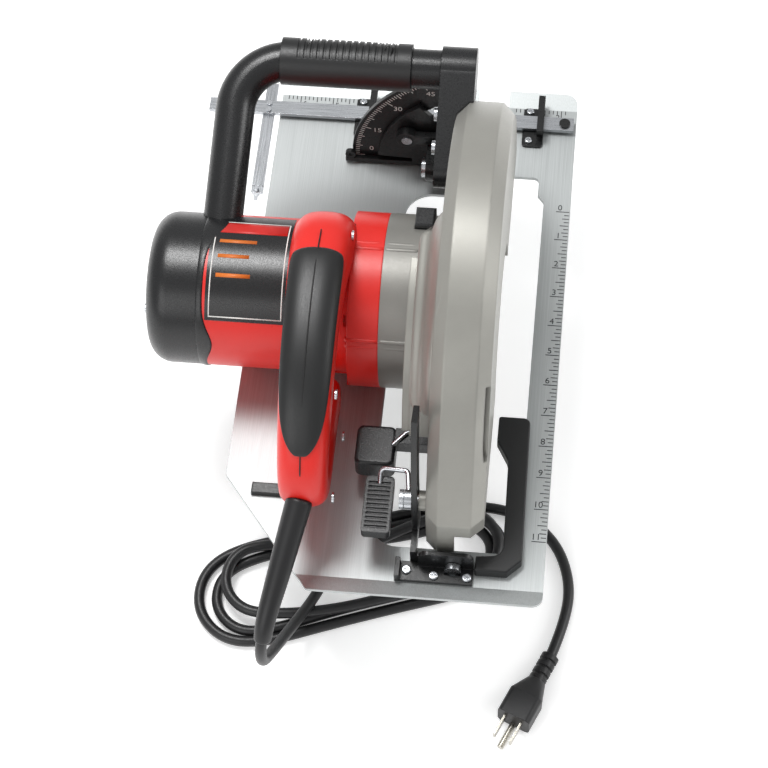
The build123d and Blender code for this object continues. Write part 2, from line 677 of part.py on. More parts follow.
def lock_button():
    button = block((-43, -29), (24, 40), (MOTOR_Z + 41, MOTOR_Z + 62))
    return chamfer(button.edges().group_by(Axis.Z)[-1], 1.5)


# Lower guard ------------------------------------------------------------------------------

def lower_guard():
    """Channel section guard that swings round the arbor on the gear case's nose."""
    centre = (0, ARBOR_Z)
    rim = arc_band(centre, LOWER_R - 2, LOWER_R, 170, 365)
    body = plate_yz(rim, -LOWER_HALF, LOWER_HALF)
    left = arc_band(centre, 36, LOWER_R - 1, 170, 365)
    body += plate_yz(left, -LOWER_HALF, -LOWER_HALF + 2)
    body += ring_x(*centre, 32.0, 38, -LOWER_HALF - 3, -LOWER_HALF + 2)
    body += plate_yz(arc_band(centre, 92, LOWER_R - 1, 170, 365), LOWER_HALF - 2, LOWER_HALF)
    return body


def guard_lever():
    """Moulded knob on an arm through the guard's arc slot."""
    arm = block((-47, -LOWER_HALF), (-104, -92), (ARBOR_Z - 6, ARBOR_Z + 6))
    knob = block((-74, -46), (-121, -90), (ARBOR_Z - 13, ARBOR_Z + 5))
    knob = fillet(knob.edges().filter_by(Axis.Z), 5)
    knob = fillet(knob.edges().group_by(Axis.Z)[-1], 2.5)
    return arm + knob


def lever_wire():
    start, end = Vector(-48, -106, ARBOR_Z + 6.5), Vector(-39, -96, ARBOR_Z + 7.5)
    points = [start, end, Vector(-28, -93.5, ARBOR_Z + 7.5)]
    path = FilletPolyline(*points, radius=4)
    return sweep(Plane(origin=path @ 0, z_dir=path % 0) * Circle(1.5), path)


# Depth clamp -------------------------------------------------------------------------------

def clamp_bolt():
    y, z = clamp_point()
    return rod_x(y, z, 3.95, -36, -17.5) + rod_x(y, z, 7, -39, -36)


def depth_lever():
    """Steel hub and bent rod with a ribbed thumb pad."""
    y, z = clamp_point()
    hub = ring_x(y, z, 4.0, 7, -35.5, -30.5)
    points = [(-33, y + 5, z), (-35, y + 21, z + 2), (-54, y + 24, z - 2), (-54, y + 14, z - 8)]
    path = FilletPolyline(*points, radius=3.5)
    return hub + sweep(Plane(origin=path @ 0, z_dir=path % 0) * Circle(1.8), path)


def lever_pad():
    y, z = clamp_point()
    pad = block((-64, -44), (y - 24, y + 20), (z - 14, z - 6))
    pad = fillet(pad.edges().filter_by(Axis.Z), 3)
    for k in range(11):
        groove = y - 20 + 3.4 * k
        pad -= block((-61.5, -46.5), (groove, groove + 1.5), (z - 7, z))
    return pad - rod_y(-54, z - 8, 1.85, y + 14, y + 30)


# Cord ---------------------------------------------------------------------------------------

CORD_Z = FLOOR_Z + CORD_D / 2
LEAD = [(-119.1, -221.35, 27.8), (-125, -246, 14), (-127, -252, -19), (-124, -230, -47), (-116, -199, -72),
        (-104, -164, -93)]
TAIL = [(-62, -91, CORD_Z), (-12, -75, CORD_Z), (36, -75, CORD_Z), (68, -97, CORD_Z),
        (82, -131, CORD_Z), (80, -165, CORD_Z + 1), (71, -194, CORD_Z + 3)]
COIL_ENDS = ((-152, -163), (0, -112))
COIL_R = (38, 36)


def cord_tube(name, points):
    """Straight runs joined by arcs as large as the runs allow."""
    vectors = [Vector(*p) for p in points]
    radii = []
    for a, b, c in zip(vectors, vectors[1:], vectors[2:]):
        half_turn = math.radians((b - a).get_angle(c - b)) / 2
        radii.append(0.45 * min((b - a).length, (c - b).length) / math.tan(half_turn))
    path = FilletPolyline(*vectors, radius=radii)
    tube = sweep(Plane(origin=path @ 0, z_dir=path % 0) * Circle(CORD_D / 2), path)
    ideal = math.pi * CORD_D**2 / 4 * path.length
    print(name, "radii", [round(r, 1) for r in radii], "length", round(path.length, 1),
          "volume ratio", round(tube.volume / ideal, 4))
    return tube


def cord_coil():
    """Outer shape of the loose coil on the floor: a long ring, two layers high."""
    grow, shrink = 7.0, 17.0
    (ax, ay), (bx, by) = COIL_ENDS

    def racetrack(delta):
        circles = [Pos(ax, ay) * Circle(COIL_R[0] + delta), Pos(bx, by) * Circle(COIL_R[1] + delta)]
        return make_hull(circles[0].edges() + circles[1].edges())

    ring = racetrack(grow) - racetrack(-shrink)
    return plate_xy(ring, FLOOR_Z, FLOOR_Z + 17)


PLUG_DIR = Vector(-0.40, -0.917, 0)


def plug_frame():
    return Plane(origin=Vector(*TAIL[-1]), x_dir=Vector(0.917, -0.40, 0), z_dir=PLUG_DIR)


def plug_body():
    align = (Align.CENTER, Align.CENTER, Align.MIN)
    boot = Cylinder(6.6, 22, align=align)
    for k in range(3):
        boot -= Pos(0, 0, 4 + 6 * k) * (Cylinder(8, 2.4, align=align) - Cylinder(5.4, 2.4, align=align))
    head = loft([Pos(0, 0, 22) * Circle(7), Pos(0, 3.2, 38) * RectangleRounded(25, 20, 4)])
    head += extrude(Pos(0, 3.2, 38) * RectangleRounded(25, 20, 4), 20)
    body = plug_frame() * (boot + head)
    return body & block((-200, 200), (-400, 0), (FLOOR_Z, 0))


def plug_blades():
    frame = plug_frame()
    align = (Align.CENTER, Align.CENTER, Align.MIN)
    parts = [frame * (Pos(x, 5.2, 58) * Box(1.6, 6.4, 17, align=align)) for x in (-6.35, 6.35)]
    parts.append(frame * (Pos(0, -3.6, 58) * Cylinder(2.4, 20, align=align)))
    return Compound(children=parts)


# Write every node ---------------------------------------------------------------------------

write("shoe_plate", shoe_plate())
write("bevel_quadrant", bevel_quadrant())
write("rear_bracket", rear_bracket())
write("slot_frame", slot_frame())
for side, x in CLAMP_X.items():
    write(f"fence_clamp_{side}", fence_clamp(x))
write("shoe_screws", shoe_screws())
write("wrench_clip", wrench_clip())
write("fence_rail", fence_rail())
write("fence_guide", fence_guide())
write("fence_stop", fence_stop())
write("fence_rivets", fence_rivets())
write("front_carriage", front_carriage())
write("bevel_pointer", bevel_pointer())
write("bevel_pins", bevel_pins())
write("depth_pin", depth_pin())
write("depth_arm", depth_arm())
write("bevel_bolt", bevel_bolt())
write("bevel_lever", bevel_lever())
write("upper_guard", upper_guard())
write("gear_case", gear_case())
write("case_screws", case_screws())
write("spindle", spindle())
write("spindle_gear", spindle_gear())
write("saw_blade", saw_blade())
write("blade_flanges", blade_flanges())
write("blade_bolt", blade_bolt())
write("spindle_bearings", spindle_bearings())
write("armature", armature())
write("motor_bearings", motor_bearings())
write("stator", stator())
write("brush_holders", brush_holders())
write("carbon_brushes", carbon_brushes())
write("motor_housing", motor_housing())
write("end_cap", end_cap())
write("handle_left", handle_half(-1))
write("handle_right", handle_half(1))
write("grip_pad", grip_pad())
write("housing_screws", housing_screws())
write("power_switch", power_switch())
write("trigger", trigger())
write("strain_relief", relief_body())
write("front_handle", front_handle())
write("front_grip", front_grip())
write("handle_arm", handle_arm())
write("arm_bolts", arm_bolts())
write("label_plate", label_plate())
write("lock_button", lock_button())
write("lower_guard", lower_guard())
write("guard_lever", guard_lever())
write("lever_wire", lever_wire())
write("clamp_bolt", clamp_bolt())
write("depth_lever", depth_lever())
write("lever_pad", lever_pad())
write("cord_lead", cord_tube("cord_lead", LEAD))
write("cord_coil", cord_coil())
write("cord_tail", cord_tube("cord_tail", TAIL))
write("plug_body", plug_body())
write("plug_blades", plug_blades())
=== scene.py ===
import bpy
import bmesh
import math
from mathutils import Matrix, Vector


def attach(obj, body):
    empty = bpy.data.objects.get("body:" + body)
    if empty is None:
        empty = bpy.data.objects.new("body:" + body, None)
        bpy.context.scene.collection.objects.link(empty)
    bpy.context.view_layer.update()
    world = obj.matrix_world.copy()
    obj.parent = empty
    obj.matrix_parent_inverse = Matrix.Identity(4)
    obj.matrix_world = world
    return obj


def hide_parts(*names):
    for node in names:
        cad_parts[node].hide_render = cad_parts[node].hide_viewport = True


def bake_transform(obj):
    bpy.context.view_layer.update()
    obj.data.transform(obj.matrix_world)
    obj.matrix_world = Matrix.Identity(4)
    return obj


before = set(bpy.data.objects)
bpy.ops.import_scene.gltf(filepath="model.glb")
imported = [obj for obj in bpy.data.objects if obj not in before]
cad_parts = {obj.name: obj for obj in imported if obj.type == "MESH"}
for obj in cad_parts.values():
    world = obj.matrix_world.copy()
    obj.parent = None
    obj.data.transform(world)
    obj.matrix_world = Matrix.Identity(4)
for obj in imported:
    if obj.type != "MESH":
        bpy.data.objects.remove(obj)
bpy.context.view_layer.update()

MM = 0.001


# Studio: a white floor under the saw, an overhead softbox and two side panels ------------

def linear(hex_colour):
    """sRGB hex to linear RGBA."""
    parts = [int(hex_colour[i:i + 2], 16) / 255 for i in (1, 3, 5)]
    return [*(c / 12.92 if c <= 0.04045 else ((c + 0.055) / 1.055) ** 2.4 for c in parts), 1.0]


def add_node(material, kind, settings, inputs):
    """One shader node: its settings, then each input as a value or a link from a socket."""
    node = material.node_tree.nodes.new("ShaderNode" + kind)
    for name, value in settings.items():
        setattr(node, name, value)
    for name, value in inputs.items():
        if isinstance(value, bpy.types.NodeSocket):
            material.node_tree.links.new(value, node.inputs[name])
        else:
            node.inputs[name].default_value = value
    return node


def new_material(name):
    """An empty material with its shader; returns both."""
    material = bpy.data.materials.new(name)
    material.use_nodes = True
    return material, material.node_tree.nodes["Principled BSDF"]


scene = bpy.context.scene
scene.view_settings.view_transform = "Standard"


def linked(name, data):
    """A new object that holds the data, linked to the scene."""
    piece = bpy.data.objects.new(name, data)
    scene.collection.objects.link(piece)
    return piece


camera = linked("camera", bpy.data.cameras.new("camera"))
camera.data.lens, camera.data.sensor_width = 110.4, 36.0
camera.data.clip_start, camera.data.clip_end = 0.05, 20.0
camera_x = Vector((0.9946, 0.0985, -0.0324)).normalized()
camera_z = Vector((0.078, -0.5051, 0.8595)).normalized()
camera_y = camera_z.cross(camera_x).normalized()
camera_x = camera_y.cross(camera_z)
turn = Matrix((camera_x, camera_y, camera_z)).transposed().to_4x4()
camera.matrix_world = Matrix.Translation((0.0707, -0.8967, 1.4695)) @ turn
scene.camera = camera

world = bpy.data.worlds.new("studio")
scene.world = world
world.use_nodes = True
world.node_tree.nodes["Background"].inputs["Color"].default_value = (1.0, 1.0, 1.0, 1.0)
world.node_tree.nodes["Background"].inputs["Strength"].default_value = 0.6

LIGHTS = (  # name, place and width in metres, power in watts
    ("overhead softbox", (-0.45, 0.35, 1.5), 0.55, 17.0),
    ("right panel", (1.4, 0.2, 0.8), 0.7, 8.0),
    ("rear panel", (-0.9, -1.5, 1.0), 1.2, 9.0))
LIT_SPOT = Vector((-0.05, 0, 0))
for name, place, width, power in LIGHTS:
    light = linked(name, bpy.data.lights.new(name, "AREA"))
    light.data.shape, light.data.size, light.data.energy = "SQUARE", width, power
    aim = (Vector(place) - LIT_SPOT).to_track_quat("Z", "Y").to_matrix().to_4x4()
    light.matrix_world = Matrix.Translation(place) @ aim

FLOOR_Z = -105.0
FLOOR_GAP = 0.4
FLOOR_HALF = 5.0  # metres
floor_mesh = bpy.data.meshes.new("floor")
corners = ((-1, -1), (1, -1), (1, 1), (-1, 1))
floor_mesh.from_pydata([(x * FLOOR_HALF, y * FLOOR_HALF, (FLOOR_Z - FLOOR_GAP) * MM) for x, y in corners],
                       [], [(0, 1, 2, 3)])
floor = linked("floor", floor_mesh)
paper, paper_shader = new_material("white_paper")
paper_shader.inputs["Base Color"].default_value = linear("#fbfbfb")
paper_shader.inputs["Roughness"].default_value = 0.9
paper_shader.inputs["Emission Color"].default_value = (1, 1, 1, 1)
paper_shader.inputs["Emission Strength"].default_value = 0.32
floor_mesh.materials.append(paper)


# Power cord: about 2 m of flex, two cores and an earth in a black rubber jacket. It drops from
# the strain relief behind the handle, lies on the floor in loose turns and comes out on the right.

def grained(name, colour, roughness, grain_mm, depth_mm, metallic=0.0, edge_mm=0.5, wear="#000000",
            mottle=0.25):
    """Moulded or coated surface: fine grain in its bump and gloss, slight mottling in its
    colour, edges eased by a small radius. Named for the real surface by its caller."""
    material, shader = new_material(name)
    place = add_node(material, "TexCoord", {}, {})
    grain = add_node(material, "TexNoise", {}, {"Vector": place.outputs["Object"],
                     "Scale": 1 / (grain_mm * MM), "Detail": 3.0, "Roughness": 0.6})
    patches = add_node(material, "TexNoise", {}, {"Vector": place.outputs["Object"],
                       "Scale": 28.0, "Detail": 4.0, "Roughness": 0.65})
    darker = [c * (1 - mottle) for c in linear(colour)[:3]] + [1.0]
    tint = add_node(material, "ValToRGB", {}, {"Fac": patches.outputs["Fac"]})
    tint.color_ramp.elements[0].position, tint.color_ramp.elements[1].position = 0.3, 0.7
    tint.color_ramp.elements[0].color, tint.color_ramp.elements[1].color = darker, linear(colour)
    gloss = add_node(material, "MapRange", {}, {"Value": grain.outputs["Fac"], "From Min": 0.3,
                     "From Max": 0.7, "To Min": roughness - 0.07, "To Max": roughness + 0.09})
    eased = add_node(material, "Bevel", {"samples": 4}, {"Radius": edge_mm * MM})
    bump = add_node(material, "Bump", {}, {"Height": grain.outputs["Fac"], "Strength": 0.6,
                    "Distance": depth_mm * MM, "Normal": eased.outputs["Normal"]})
    link = material.node_tree.links.new
    link(tint.outputs["Color"], shader.inputs["Base Color"])
    link(gloss.outputs["Result"], shader.inputs["Roughness"])
    link(bump.outputs["Normal"], shader.inputs["Normal"])
    shader.inputs["Metallic"].default_value = metallic
    return material


def finish_piece(piece, material, body, nodes=(), smooth=True):
    """Gives a new piece its material, its body and the CAD nodes it stands for."""
    piece.data.materials.clear()
    piece.data.materials.append(material)
    if smooth and piece.type == "MESH":
        for polygon in piece.data.polygons:
            polygon.use_smooth = True
    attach(piece, body)
    if nodes:
        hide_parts(*nodes)
    return piece


def coat(material, *nodes):
    """Gives CAD nodes a material."""
    for name in nodes:
        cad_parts[name].data.materials.clear()
        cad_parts[name].data.materials.append(material)


# Extruded rubber jacket: near black, half matt, with a faint dusty bloom.
jacket_rubber = grained("extruded_rubber_jacket", "#151517", 0.4, 0.9, 0.05, edge_mm=0.2)
jacket_rubber.node_tree.nodes["Principled BSDF"].inputs["Sheen Weight"].default_value = 0.03

CORD_D = 8.0
CORD_Z = FLOOR_Z + CORD_D / 2
LEAD = [(-119.1, -221.35, 27.8), (-125, -246, 14), (-127, -252, -19), (-124, -230, -47),
        (-116, -199, -72), (-104, -164, -93)]
TAIL = [(-62, -91, CORD_Z), (-12, -75, CORD_Z), (36, -75, CORD_Z), (68, -97, CORD_Z),
        (82, -131, CORD_Z), (80, -165, CORD_Z + 1), (71, -194, CORD_Z + 3)]
LEFT_END, RIGHT_END = Vector((-152, -163)), Vector((0, -112))
along = (RIGHT_END - LEFT_END).normalized()
across = Vector((-along.y, along.x))
span = (RIGHT_END - LEFT_END).length
ROUND_OUT = 1.04  # the smooth line cuts inside its points, so the points stand out by this


def coil_turn(first, last, left_r, right_r, z_first, z_last, fan):
    """Control points of one loose turn, clockwise from the middle of its front side. Its
    offset from the end radii changes evenly from first to last; fan moves its left end."""
    steps = [(0.62, 1)] + [(1.0, a) for a in (90, 45, 0, -45, -90)] + [(0.64, -1), (0.34, -1)]
    steps += [(0.0, a) for a in (-90, -135, 180, 135, 90)] + [(0.32, 1)]
    points = []
    for k, (s, a) in enumerate(steps):
        share = k / len(steps)
        offset = first + (last - first) * share
        z = z_first + (z_last - z_first) * share
        if s in (0.0, 1.0):
            centre = LEFT_END if s == 0.0 else RIGHT_END
            r = (left_r if s == 0.0 else right_r) + offset
            spread = r * ROUND_OUT
            angle = math.radians(a)
            flat = centre + along * math.cos(angle) * spread + across * math.sin(angle) * spread
            if s == 0.0:
                flat += along * fan[0] + across * fan[1]
        else:
            r = left_r + (right_r - left_r) * s + offset
            flat = LEFT_END + along * span * s + across * a * r
        points.append((flat.x, flat.y, z))
    return points


route = list(LEAD)
route += [(-96, -141, -94), (-80, -122, -94)]
route += coil_turn(-6, -12, 39, 36, CORD_Z + 8.2, CORD_Z + 8.2, (12, 9))[1:-1]
route += coil_turn(-16, -6, 38, 36, CORD_Z + 1, CORD_Z, (3, -2))
route += coil_turn(-6, 3, 38, 36, CORD_Z, CORD_Z, (-1, 0))
route += TAIL


def smooth_line(name, points):
    """A NURBS curve with the points, in millimetres, as its control points."""
    curve = bpy.data.curves.new(name, "CURVE")
    curve.dimensions = "3D"
    line = curve.splines.new("NURBS")
    line.points.add(len(points) - 1)
    for point, place in zip(line.points, points):
        point.co = (*[c * MM for c in place], 1.0)
    line.order_u = 3
    line.use_endpoint_u = True
    line.resolution_u = 8
    return linked(name, curve)


cord_line = smooth_line("power_cord_line", route)
cord_path = [tuple(v.co) for v in bpy.data.meshes.new_from_object(cord_line).vertices]
cord_line.data.bevel_depth = CORD_D / 2 * MM
cord_line.data.bevel_resolution = 6
cord_line.data.use_fill_caps = True
cord = linked("power_cord", bpy.data.meshes.new_from_object(cord_line))
bpy.data.objects.remove(cord_line)
cord.data.materials.clear()
cord.data.materials.append(jacket_rubber)
for polygon in cord.data.polygons:
    polygon.use_smooth = True
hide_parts("cord_lead", "cord_coil", "cord_tail")
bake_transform(cord)


# Plug: a rubber head moulded round three blades, two flat and one for earth. It lies on the
# floor at the cord's end.

# Nickel-plated brass: silvery with a warm cast, lightly scratched.
nickel_plate = grained("nickel_plated_brass", "#c4c0b6", 0.26, 1.2, 0.01, metallic=1.0, edge_mm=0.2)
# Moulded rubber: black, half matt, with a slightly pebbled skin.
moulded_rubber = grained("moulded_rubber", "#131315", 0.42, 0.7, 0.06, edge_mm=0.9)
coat(moulded_rubber, "plug_body")
coat(nickel_plate, "plug_blades", "brush_holders")


# Strain relief: a tapered rubber sleeve, held in the rear of the handle. It bends downward with
# the cord that it guards.

def ring_points(centre, normal, up, half_u, half_v, power, count=24):
    """A rounded-square ring of points across a direction; power 2 is round, 4 squarish."""
    side = normal.cross(up).normalized()
    up = side.cross(normal).normalized()
    points = []
    for k in range(count):
        a = 2 * math.pi * k / count
        c, n = math.cos(a), math.sin(a)
        u = math.copysign(abs(c) ** (2 / power), c) * half_u
        v = math.copysign(abs(n) ** (2 / power), n) * half_v
        points.append(centre + side * u + up * v)
    return points


def skin(name, rings, levels=1):
    """A closed mesh through rings of points in millimetres, capped and subdivided."""
    mesh = bpy.data.meshes.new(name)
    count = len(rings[0])
    points = [p * MM for ring in rings for p in ring]
    faces = []
    for i in range(len(rings) - 1):
        for k in range(count):
            n = (k + 1) % count
            faces.append((i * count + k, i * count + n, (i + 1) * count + n, (i + 1) * count + k))
    for base, order in ((0, -1), ((len(rings) - 1) * count, 1)):
        middle = sum((points[base + k] for k in range(count)), Vector()) / count
        points.append(middle)
        for k in range(count):
            faces.append((base + k, base + (k + 1) % count, len(points) - 1)[::order])
    mesh.from_pydata(points, [], faces)
    body = bmesh.new()
    body.from_mesh(mesh)
    bmesh.ops.recalc_face_normals(body, faces=body.faces)
    body.to_mesh(mesh)
    body.free()
    piece = linked(name, mesh)
    rounding = piece.modifiers.new("rounding", "SUBSURF")
    rounding.levels = rounding.render_levels = levels
    return piece


RELIEF = (Vector((-106, -166, 58)), Vector((-119, -221, 28)))
relief_line = [RELIEF[0] + (RELIEF[0] - RELIEF[1]) * 0.07, RELIEF[0], RELIEF[0].lerp(RELIEF[1], 0.35),
               RELIEF[0].lerp(RELIEF[1], 0.7), RELIEF[1], Vector((-121.8, -232, 21.4)),
               Vector((-123.6, -240, 14.5)), Vector((-124.6, -244.5, 7))]
relief_radii = (9.6, 9.4, 8.9, 8.3, 7.6, 7.1, 6.7, 6.3)
UP = Vector((0, 0, 1))
relief_rings = []
for k, (centre, r) in enumerate(zip(relief_line, relief_radii)):
    before, after = relief_line[max(0, k - 1)], relief_line[min(len(relief_line) - 1, k + 1)]
    direction = (after - before).normalized()
    relief_rings.append(ring_points(centre, direction, UP, r, r, 2, 20))
LIP, LIP_TAPER = 1.2, 0.5
relief_rings.append(ring_points(centre + direction * LIP, direction, UP, r - LIP_TAPER, r - LIP_TAPER, 2, 20))
relief = skin("strain_relief_sleeve", relief_rings, 2)
finish_piece(relief, moulded_rubber, "saw", ("strain_relief",))


# Shoe: 3 mm aluminium plate, brushed lengthwise, with its inch scales printed in black.

def brushed_metal(name, colour, roughness, across_mm, along_mm, along_axis, streak=0.22, edge_mm=0.35):
    """Rolled or brushed metal: fine parallel lines that vary its gloss and shade."""
    material, shader = new_material(name)
    place = add_node(material, "TexCoord", {}, {})
    scale = [1 / (across_mm * MM)] * 3
    scale["XYZ".index(along_axis)] = 1 / (along_mm * MM)
    stretched = add_node(material, "Mapping", {}, {"Vector": place.outputs["Object"], "Scale": scale})
    lines = add_node(material, "TexNoise", {}, {"Vector": stretched.outputs["Vector"], "Scale": 1.0,
                     "Detail": 4.0, "Roughness": 0.7})
    cloud = add_node(material, "TexNoise", {}, {"Vector": place.outputs["Object"], "Scale": 9.0,
                     "Detail": 3.0})
    both = add_node(material, "Math", {"operation": "MULTIPLY_ADD"}, {0: cloud.outputs["Fac"], 1: 0.35,
                    2: lines.outputs["Fac"]})
    tint = add_node(material, "MapRange", {}, {"Value": both.outputs["Value"], "From Min": 0.35,
                    "From Max": 1.0, "To Min": 1 - streak, "To Max": 1.0})
    base = add_node(material, "Mix", {"data_type": "RGBA", "blend_type": "MULTIPLY"},
                    {"Factor": 1.0, 6: linear(colour), 7: tint.outputs["Result"]})
    gloss = add_node(material, "MapRange", {}, {"Value": lines.outputs["Fac"], "From Min": 0.3,
                     "From Max": 0.7, "To Min": roughness - 0.08, "To Max": roughness + 0.1})
    eased = add_node(material, "Bevel", {"samples": 4}, {"Radius": edge_mm * MM})
    bump = add_node(material, "Bump", {}, {"Height": lines.outputs["Fac"], "Strength": 0.5,
                    "Distance": 0.02 * MM, "Normal": eased.outputs["Normal"]})
    link = material.node_tree.links.new
    link(base.outputs[2], shader.inputs["Base Color"])
    link(gloss.outputs["Result"], shader.inputs["Roughness"])
    link(bump.outputs["Normal"], shader.inputs["Normal"])
    shader.inputs["Metallic"].default_value = 1.0
    return material


# Brushed aluminium: pale, streaked lengthwise. Real lines are 0.1 mm; drawn at 0.5 to show. Its
# thin oxide scatters some of the light, so it isn't quite a full metal.
brushed_aluminium = brushed_metal("brushed_aluminium", "#c6caca", 0.5, 0.5, 120.0, "Y", streak=0.4)
brushed_aluminium.node_tree.nodes["Principled BSDF"].inputs["Metallic"].default_value = 0.82
coat(brushed_aluminium, "shoe_plate")

# Black screen ink, matt, a few hundredths thick.
scale_ink = grained("black_screen_ink", "#26272a", 0.6, 0.5, 0.01, edge_mm=0.05)

INCH = 25.4
EIGHTH = INCH / 8
INK_FOOT, INK_Z, INK_LIFT = 2.98, 3.12, 0.04
SIZE_PER_HEIGHT = 1.38  # a figure's type size over its height
SHOE_RIGHT, RULER_ZERO = 63.0, 126.0
RULER_EDGE, FRONT_EDGE = SHOE_RIGHT - 0.6, 220.6
LINE_HALF = 0.3
FIGURE_HIGH = 5.0


def bars(name, boxes):
    """Thin closed boxes, each (x0, x1, y0, y1, z0, z1) in millimetres, in one mesh."""
    mesh = bpy.data.meshes.new(name)
    points, faces = [], []
    for x0, x1, y0, y1, z0, z1 in boxes:
        n = len(points)
        points += [(x * MM, y * MM, z * MM) for z in (z0, z1) for x, y in
                   ((x0, y0), (x1, y0), (x1, y1), (x0, y1))]
        faces += [(n, n + 3, n + 2, n + 1), (n + 4, n + 5, n + 6, n + 7)]
        faces += [(n + k, n + (k + 1) % 4, n + 4 + (k + 1) % 4, n + 4 + k) for k in range(4)]
    mesh.from_pydata(points, [], faces)
    return linked(name, mesh)


def numerals(name, entries):
    """Raised numerals in one mesh; each entry is (text, placing matrix, height in mm)."""
    joined = bmesh.new()
    for text, matrix, height in entries:
        curve = bpy.data.curves.new(name, "FONT")
        curve.body, curve.size = text, height * SIZE_PER_HEIGHT * MM
        curve.align_x, curve.align_y = "CENTER", "CENTER"
        curve.extrude = INK_LIFT * MM
        temporary = bpy.data.objects.new(name + "_draft", curve)
        mesh = bpy.data.meshes.new_from_object(temporary)
        mesh.transform(matrix)
        joined.from_mesh(mesh)
        bpy.data.objects.remove(temporary)
        bpy.data.meshes.remove(mesh)
    mesh = bpy.data.meshes.new(name)
    joined.to_mesh(mesh)
    joined.free()
    return linked(name, mesh)


def place_mm(x, y, z, turn_x=0.0):
    """A placing matrix from millimetres, turned about X by some degrees."""
    return Matrix.Translation((x * MM, y * MM, z * MM)) @ Matrix.Rotation(math.radians(turn_x), 4, "X")


def tick_reach(eighth, inch, half, quarter, other):
    """How far a scale's line reaches, by the part of an inch that it marks."""
    return inch if eighth % 8 == 0 else half if eighth % 4 == 0 else quarter if eighth % 2 == 0 else other


ticks = []
for k in range(11 * 8 + 1):
    y = RULER_ZERO - k * EIGHTH
    reach = tick_reach(k, 10.0, 6.6, 5.0, 3.7)
    ticks.append((RULER_EDGE - reach, RULER_EDGE, y - LINE_HALF, y + LINE_HALF, INK_FOOT, INK_Z))
for k in [*range(-6, -52, -1), *range(5, 18)]:
    x = k * EIGHTH
    reach = tick_reach(k, 7.0, 5.0, 3.4, 3.4)
    ticks.append((x - LINE_HALF, x + LINE_HALF, FRONT_EDGE - reach, FRONT_EDGE, INK_FOOT, INK_Z))
finish_piece(bars("shoe_scale_lines", ticks), scale_ink, "shoe", smooth=False)
figure_places = [(k, SHOE_RIGHT - 7.8, RULER_ZERO - k * INCH + 3.5) for k in range(12)]
figure_places += [(k, k * INCH - 2.6, 214.2) for k in (1, 2)]
figure_places += [(k, -k * INCH + 3.4, 213.4) for k in (2, 3, 4, 5, 6)]
figures = [(str(k), place_mm(x, y, INK_Z - INK_LIFT), FIGURE_HIGH) for k, x, y in figure_places]
finish_piece(numerals("shoe_scale_figures", figures), scale_ink, "shoe", smooth=False)


# Fittings on the shoe: the tilt quadrant, brackets and clamps are pressed steel, powder coated
# black and screwed down; the fence slides in its clamps, and its strips are bare steel.

# Powder coat over pressed steel: black, satin, with a fine orange-peel.
powder_coat = grained("black_powder_coat", "#0f1011", 0.32, 1.3, 0.09, edge_mm=0.6)
coat(powder_coat, "bevel_quadrant", "rear_bracket", "fence_clamp_left", "fence_clamp_right",
     "wrench_clip", "front_carriage", "bevel_pointer", "bevel_lever", "fence_stop", "depth_arm")
# The slot frame is a moulding in glass-filled nylon, a little duller.
filled_nylon = grained("glass_filled_nylon", "#131415", 0.4, 0.8, 0.08, edge_mm=0.8)
coat(filled_nylon, "slot_frame")

# Zinc-plated screws: bluish bright steel.
zinc_plate = brushed_metal("zinc_plated_steel", "#cfd2d6", 0.24, 0.4, 1.2, "X", streak=0.12, edge_mm=0.25)
coat(zinc_plate, "shoe_screws", "fence_rivets", "housing_screws", "arm_bolts", "case_screws",
     "bevel_pins", "bevel_bolt", "clamp_bolt", "depth_pin")
# Bright rolled steel strip, drawn lengthwise.
rolled_steel = brushed_metal("bright_rolled_steel", "#c3c6ca", 0.27, 0.5, 40.0, "X", edge_mm=0.3)
rolled_strip = brushed_metal("bright_rolled_strip", "#c3c6ca", 0.27, 0.5, 40.0, "Y", edge_mm=0.3)
coat(rolled_steel, "fence_rail", "lever_wire", "depth_lever")
coat(rolled_strip, "fence_guide")

# Angle scale printed in white on the quadrant, every degree, with its figures.
# White ink: slightly grey and matt.
white_ink = grained("white_screen_ink", "#e6e6e2", 0.55, 0.5, 0.01, edge_mm=0.05)
QUADRANT_BACK, BEVEL_Z = 163.95, 9.0
SCALE_R, FIGURE_R = 103.5, 91.5
DEGREE_STEP = 1.35  # the turn from one printed degree to the next
PRINT_RIGHT, PRINT_FOOT = -24.0, 5.0  # no line is printed beyond these


def prisms(name, eights):
    """Closed lines in one mesh, each given by its eight corners, four and then the other four."""
    shape = bmesh.new()
    for corners in eights:
        verts = [shape.verts.new(c * MM) for c in corners]
        shape.faces.new(verts[:4])
        shape.faces.new(verts[7:3:-1])
        for k in range(4):
            n = (k + 1) % 4
            shape.faces.new((verts[k], verts[k + 4], verts[n + 4], verts[n]))
    bmesh.ops.recalc_face_normals(shape, faces=shape.faces)
    mesh = bpy.data.meshes.new(name)
    shape.to_mesh(mesh)
    shape.free()
    return linked(name, mesh)


